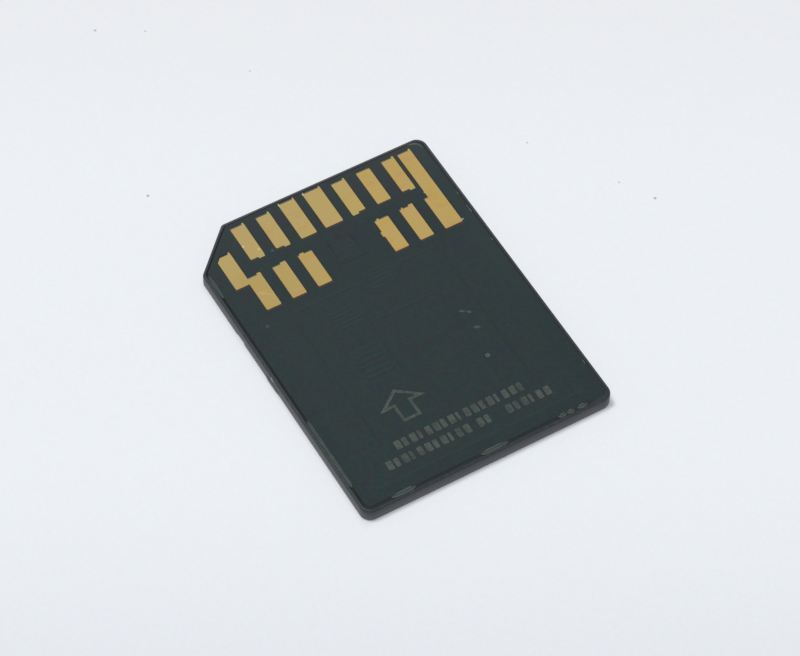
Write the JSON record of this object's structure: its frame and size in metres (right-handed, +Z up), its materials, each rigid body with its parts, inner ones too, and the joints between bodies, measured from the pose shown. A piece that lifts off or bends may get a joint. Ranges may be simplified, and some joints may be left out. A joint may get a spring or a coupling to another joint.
{
  "type": "multimedia card",
  "caption": "Thin rectangular memory card with one cut corner and two rows of gold contacts on a dark board set in a black plastic tray.",
  "frame": {"origin": "middle of the underside, at the label side", "axes": "+Y towards the edge that goes into the socket first, +Z up out of the contact side, +X to the right seen from above, so the cut corner is at -X, +Y"},
  "size_m": [0.0241, 0.032, 0.0014],
  "materials": {
    "shell_plastic": "moulded black plastic with a fine satin grain",
    "solder_mask": "dark green-black solder mask, semi-gloss, with a faint relief of the copper under it",
    "contact_gold": "hard gold plating, satin, with light scratches",
    "bead_adhesive": "cured pale grey-green adhesive",
    "marking_ink": "thin pale grey-green print",
    "bare_copper": "copper foil",
    "laminate": "dark glass-fibre laminate",
    "inner_mask": "dark green solder mask",
    "moulding_compound": "black filled epoxy",
    "silicon": "polished silicon",
    "chip_film": "die attach film",
    "film_adhesive": "thin adhesive film",
    "wire_gold": "gold wire",
    "capacitor_body": "brown ceramic",
    "resistor_body": "black coated ceramic",
    "tin_plate": "tin-plated ends",
    "solder": "reflowed solder",
    "label_paper": "plain coated label"
  },
  "bodies": {
    "root": {"shell": "shell_plastic", "label": "label_paper", "shell_adhesive": "film_adhesive", "mould_cap": "moulding_compound", "substrate": "laminate", "vias": "bare_copper", "contact_side_copper": "bare_copper", "contact_side_mask": "solder_mask", "die_side_copper": "bare_copper", "die_side_mask": "inner_mask", "contact_1": "contact_gold", "contact_2": "contact_gold", "contact_3": "contact_gold", "contact_4": "contact_gold", "contact_5": "contact_gold", "contact_6": "contact_gold", "contact_7": "contact_gold", "contact_8": "contact_gold", "contact_9": "contact_gold", "contact_10": "contact_gold", "contact_11": "contact_gold", "contact_12": "contact_gold", "contact_13": "contact_gold", "lower_die_film": "chip_film", "nand_die_lower": "silicon", "upper_die_film": "chip_film", "nand_die_upper": "silicon", "controller_film": "chip_film", "controller_die": "silicon", "lower_bond_wires": "wire_gold", "upper_bond_wires": "wire_gold", "controller_bond_wires": "wire_gold", "capacitor_1": "capacitor_body", "capacitor_2": "capacitor_body", "capacitor_3": "capacitor_body", "capacitor_4": "capacitor_body", "resistor_1": "resistor_body", "resistor_2": "resistor_body", "component_ends": "tin_plate", "solder_joints": "solder", "edge_adhesive": "bead_adhesive", "marking_ink": "marking_ink"}
  },
  "joints": []
}
